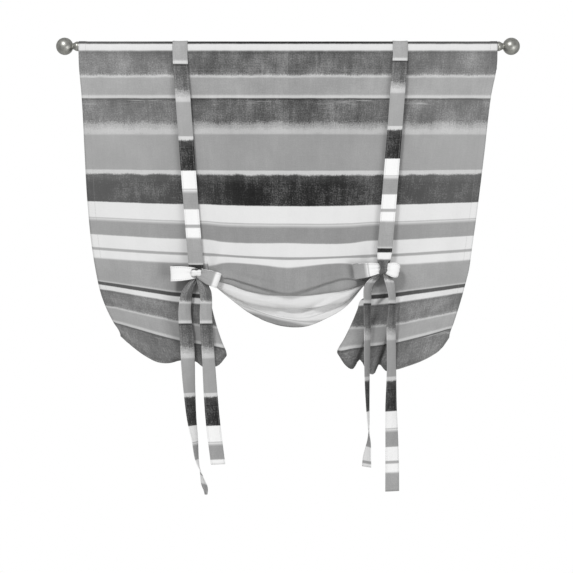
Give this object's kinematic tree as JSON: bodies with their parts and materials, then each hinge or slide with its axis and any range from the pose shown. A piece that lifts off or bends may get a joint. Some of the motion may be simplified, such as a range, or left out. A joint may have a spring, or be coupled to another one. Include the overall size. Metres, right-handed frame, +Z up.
{
  "type": "tie-up curtain",
  "caption": "Tie-up curtain: a striped cloth panel hung on a telescoping rod by its pocket, its foot gathered up by straps tied in bows.",
  "frame": {"origin": "on the rod's axis, at the middle of the curtain's width", "axes": "+X along the rod, to the right as seen from the room; -Y towards the room; +Z up"},
  "size_m": [1.1834, 0.0937, 1.1622],
  "materials": {
    "curtain_cloth": "printed slub linen weave with stripes in greys, white and near black",
    "tie_cloth": "the same printed cloth, cut along its stripes' repeat",
    "rod_steel": "brushed nickel plate",
    "finial_metal": "brushed nickel plate",
    "stud_steel": "plain zinc plate",
    "plug_plastic": "moulded white plastic"
  },
  "bodies": {
    "curtain_and_fixed_rod": {"curtain_panel": "curtain_cloth", "left_tie": "tie_cloth", "right_tie": "tie_cloth", "rod_outer_tube": "rod_steel", "left_finial": "finial_metal", "left_finial_stud": "stud_steel", "left_end_plug": "plug_plastic"},
    "sliding_rod": {"rod_inner_tube": "rod_steel", "right_finial": "finial_metal", "right_finial_stud": "stud_steel", "right_end_plug": "plug_plastic"}
  },
  "joints": [
    {"name": "rod_extend", "type": "slide", "parent": "curtain_and_fixed_rod", "child": "sliding_rod", "axis": [1, 0, 0], "range_m": [0, 0.15]}
  ]
}
